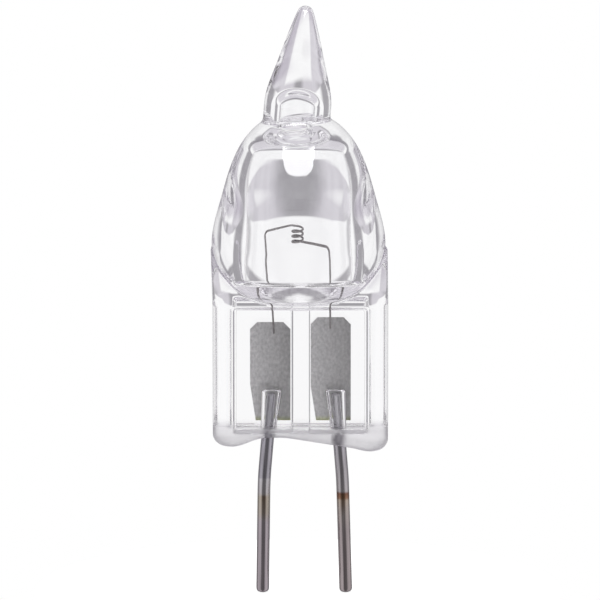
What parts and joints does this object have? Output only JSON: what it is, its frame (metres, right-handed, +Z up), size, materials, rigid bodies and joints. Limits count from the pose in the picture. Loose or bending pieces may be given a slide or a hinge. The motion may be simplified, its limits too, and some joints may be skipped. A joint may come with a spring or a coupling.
{
  "type": "halogen capsule bulb",
  "caption": "Clear quartz halogen capsule with a leaning sealed tip, a coiled filament, a flat pinched foot with sealing foils, and splayed contact pins.",
  "frame": {"origin": "on the bulb's axis at the foot of the glass, between the pins, where the bulb seats on its holder", "axes": "+Z up along the bulb towards the sealed tip, +X to the right across both pins, front towards -Y"},
  "size_m": [0.0094, 0.0092, 0.0314],
  "materials": {
    "quartz_glass": "clear, fire-polished",
    "tungsten_wire": "drawn wire",
    "molybdenum_foil": "rolled foil, satin",
    "pin_metal": "drawn rod with heat tint"
  },
  "bodies": {
    "root": {"glass_envelope": "quartz_glass", "filament": "tungsten_wire", "left_foil": "molybdenum_foil", "right_foil": "molybdenum_foil", "left_pin": "pin_metal", "right_pin": "pin_metal"}
  },
  "joints": []
}
